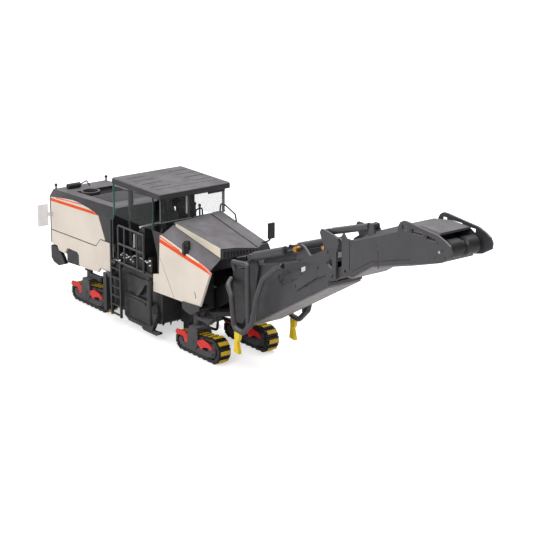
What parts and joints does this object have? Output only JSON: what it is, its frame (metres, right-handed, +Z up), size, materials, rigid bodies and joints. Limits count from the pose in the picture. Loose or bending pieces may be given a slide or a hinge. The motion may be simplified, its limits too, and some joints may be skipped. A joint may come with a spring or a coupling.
{
  "type": "cold planer milling machine model",
  "caption": "Scale model of a road milling machine: steered tracks, canopied platform, milling drum and a slewing, folding discharge conveyor.",
  "frame": {"origin": "on the ground below the middle of the overall bounding box", "axes": "+X forward towards the discharge conveyor, +Y to the machine's left, +Z up"},
  "size_m": [0.3384, 0.0618, 0.11],
  "materials": {
    "cream_paint": "satin",
    "anthracite_paint": "satin",
    "dark_paint": "satin",
    "black_plastic": "matte",
    "red_plastic": "gloss",
    "yellow_plastic": "gloss",
    "clear_plastic": "polished",
    "belt_rubber": "matte",
    "bright_steel": "satin"
  },
  "bodies": {
    "machine": {"chassis_frame": "anthracite_paint", "rear_hood": "anthracite_paint", "exhaust": "dark_paint", "grilles": "dark_paint", "rear_upper_panels": "cream_paint", "rear_lower_panels": "cream_paint", "rear_bumper": "dark_paint", "platform_floor": "anthracite_paint", "cockpit_fittings": "black_plastic", "ladders": "anthracite_paint", "canopy_roof": "anthracite_paint", "canopy_posts": "anthracite_paint", "window_panes": "clear_plastic", "front_hood": "anthracite_paint", "front_side_panels": "cream_paint", "hood_strip": "cream_paint", "drum_housing": "anthracite_paint", "side_mounts": "anthracite_paint", "primary_conveyor": "dark_paint", "handrails": "anthracite_paint", "front_mirrors": "black_plastic", "rear_mirrors": "clear_plastic"},
    "slew_frame": {"slew_frame": "anthracite_paint", "guard_tubes": "anthracite_paint", "sight_flaps": "yellow_plastic"},
    "lower_conveyor": {"lower_conveyor_frame": "anthracite_paint", "lower_belt": "belt_rubber", "fold_brackets": "anthracite_paint"},
    "upper_conveyor": {"upper_conveyor_frame": "anthracite_paint", "upper_belt": "belt_rubber", "head_roller": "belt_rubber", "head_plates": "anthracite_paint"},
    "luff_barrels": {"luff_barrels": "anthracite_paint"},
    "luff_rods": {"luff_rods": "bright_steel"},
    "fold_barrels": {"fold_barrels": "anthracite_paint"},
    "fold_rods": {"fold_rods": "bright_steel"},
    "drum": {"milling_drum": "dark_paint"},
    "side_plate_right": {"side_plate_right": "anthracite_paint"},
    "side_plate_left": {"side_plate_left": "anthracite_paint"},
    "track_fr": {"track_frame_fr": "anthracite_paint", "track_loop_fr": "black_plastic", "track_guards_fr": "red_plastic"},
    "track_fl": {"track_frame_fl": "anthracite_paint", "track_loop_fl": "black_plastic", "track_guards_fl": "red_plastic"},
    "track_rr": {"track_frame_rr": "anthracite_paint", "track_loop_rr": "black_plastic", "track_guards_rr": "red_plastic"},
    "track_rl": {"track_frame_rl": "anthracite_paint", "track_loop_rl": "black_plastic", "track_guards_rl": "red_plastic"}
  },
  "joints": [
    {"name": "conveyor_slew", "type": "hinge", "parent": "machine", "child": "slew_frame", "pos_m": [-0.0035, 0, 0.04], "axis": [0, 0, 1], "range_deg": [-30, 30]},
    {"name": "conveyor_luff", "type": "hinge", "parent": "slew_frame", "child": "lower_conveyor", "pos_m": [0.0195, 0, 0.043], "axis": [0, -1, 0], "range_deg": [-14, 8]},
    {"name": "conveyor_fold", "type": "hinge", "parent": "lower_conveyor", "child": "upper_conveyor", "pos_m": [0.0847, 0, 0.0704], "axis": [0, 1, 0], "range_deg": [0, 90]},
    {"name": "luff_barrel_pin", "type": "hinge", "parent": "slew_frame", "child": "luff_barrels", "pos_m": [0.0225, 0, 0.0655], "axis": [0, -1, 0], "range_deg": [-17.55, 10.24]},
    {"name": "luff_rod_slide", "type": "slide", "parent": "luff_barrels", "child": "luff_rods", "axis": [0.9447, 0, 0.328], "range_m": [-0.00309, 0.00526]},
    {"name": "fold_barrel_pin", "type": "hinge", "parent": "lower_conveyor", "child": "fold_barrels", "pos_m": [0.0775, 0, 0.0905], "axis": [0, 1, 0], "range_deg": [-0.5, 68.81]},
    {"name": "fold_rod_slide", "type": "slide", "parent": "fold_barrels", "child": "fold_rods", "axis": [0.9555, 0, 0.2951], "range_m": [-0.0002, 0.02486]},
    {"name": "drum_spin", "type": "hinge", "parent": "machine", "child": "drum", "pos_m": [-0.0685, 0, 0.0126], "axis": [0, 1, 0], "continuous": true},
    {"name": "side_plate_right_lift", "type": "slide", "parent": "machine", "child": "side_plate_right", "axis": [0, 0, 1], "range_m": [-0.0042, 0.001]},
    {"name": "side_plate_left_lift", "type": "slide", "parent": "machine", "child": "side_plate_left", "axis": [0, 0, 1], "range_m": [-0.0042, 0.001]},
    {"name": "track_fr_steer", "type": "hinge", "parent": "machine", "child": "track_fr", "pos_m": [-0.0235, -0.0163, 0.02], "axis": [0, 0, 1], "range_deg": [-18, 18]},
    {"name": "track_fl_steer", "type": "hinge", "parent": "machine", "child": "track_fl", "pos_m": [-0.0235, 0.0163, 0.02], "axis": [0, 0, 1], "range_deg": [-18, 18]},
    {"name": "track_rr_steer", "type": "hinge", "parent": "machine", "child": "track_rr", "pos_m": [-0.1329, -0.0163, 0.02], "axis": [0, 0, 1], "range_deg": [-18, 18]},
    {"name": "track_rl_steer", "type": "hinge", "parent": "machine", "child": "track_rl", "pos_m": [-0.1329, 0.0163, 0.02], "axis": [0, 0, 1], "range_deg": [-18, 18]}
  ],
  "couplings": [
    {"joint": "luff_barrel_pin", "follows": "conveyor_luff", "ratio": 1.218},
    {"joint": "luff_rod_slide", "follows": "conveyor_luff", "m_per_rad": -0.0207},
    {"joint": "fold_barrel_pin", "follows": "conveyor_fold", "ratio": 0.759},
    {"joint": "fold_rod_slide", "follows": "conveyor_fold", "m_per_rad": 0.0157}
  ]
}
